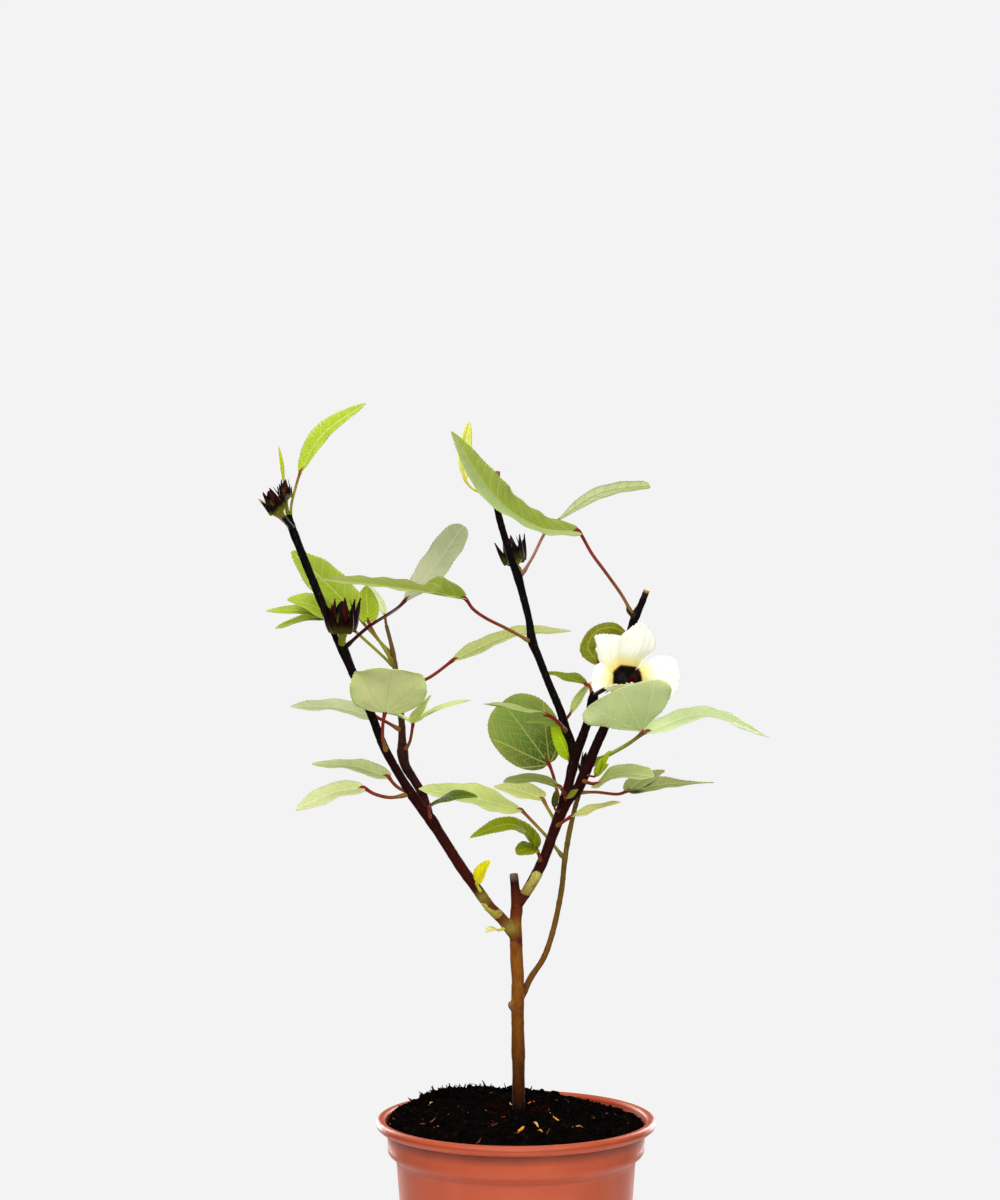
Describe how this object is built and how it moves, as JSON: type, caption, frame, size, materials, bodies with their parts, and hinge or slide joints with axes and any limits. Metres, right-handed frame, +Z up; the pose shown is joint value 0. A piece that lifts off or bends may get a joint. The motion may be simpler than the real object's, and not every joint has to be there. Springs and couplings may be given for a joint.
{
  "type": "potted hibiscus",
  "caption": "Flowering woody shrub with toothed leaves, dark pointed buds and an open pale flower, growing in soil in a round nursery pot that rests on its base.",
  "frame": {"origin": "centre of the pot's base, on the surface that it stands on", "axes": "+Z up along the pot's axis, +X to the right in the front view, +Y to the back"},
  "size_m": [0.3812, 0.21, 0.7003],
  "materials": {
    "pot": "satin",
    "soil": "matte",
    "bark": "satin",
    "leaf": "satin",
    "pale_leaf": "satin",
    "young_leaf": "satin",
    "yellow_leaf": "satin",
    "dark_leaf": "satin",
    "bud": "matte",
    "petal": "satin",
    "column": "matte",
    "calyx": "matte"
  },
  "bodies": {
    "root": {"bud_back": "bud", "bud_left": "bud", "bud_left_small": "bud", "bud_left_tip": "bud", "bud_middle": "bud", "flower_calyx": "calyx", "flower_column": "column", "flower_petals": "petal", "leaf_back_1": "pale_leaf", "leaf_inner_1": "leaf", "leaf_inner_2": "leaf", "leaf_inner_3": "leaf", "leaf_inner_4": "young_leaf", "leaf_inner_5": "young_leaf", "leaf_inner_6": "young_leaf", "leaf_inner_7": "young_leaf", "leaf_left_1": "pale_leaf", "leaf_left_10": "yellow_leaf", "leaf_left_2": "leaf", "leaf_left_3": "dark_leaf", "leaf_left_4": "pale_leaf", "leaf_left_5": "leaf", "leaf_left_6": "young_leaf", "leaf_left_7": "young_leaf", "leaf_left_8": "young_leaf", "leaf_left_9": "yellow_leaf", "leaf_middle_1": "leaf", "leaf_middle_2": "leaf", "leaf_middle_3": "yellow_leaf", "leaf_middle_4": "leaf", "leaf_middle_5": "leaf", "leaf_middle_6": "young_leaf", "leaf_middle_7": "leaf", "leaf_middle_8": "young_leaf", "leaf_right_1": "leaf", "leaf_right_10": "dark_leaf", "leaf_right_11": "leaf", "leaf_right_12": "leaf", "leaf_right_13": "dark_leaf", "leaf_right_14": "young_leaf", "leaf_right_2": "leaf", "leaf_right_3": "pale_leaf", "leaf_right_4": "pale_leaf", "leaf_right_5": "young_leaf", "leaf_right_6": "leaf", "leaf_right_7": "leaf", "leaf_right_8": "leaf", "leaf_right_9": "dark_leaf", "pot": "pot", "soil": "soil", "stem": "bark"}
  },
  "joints": []
}
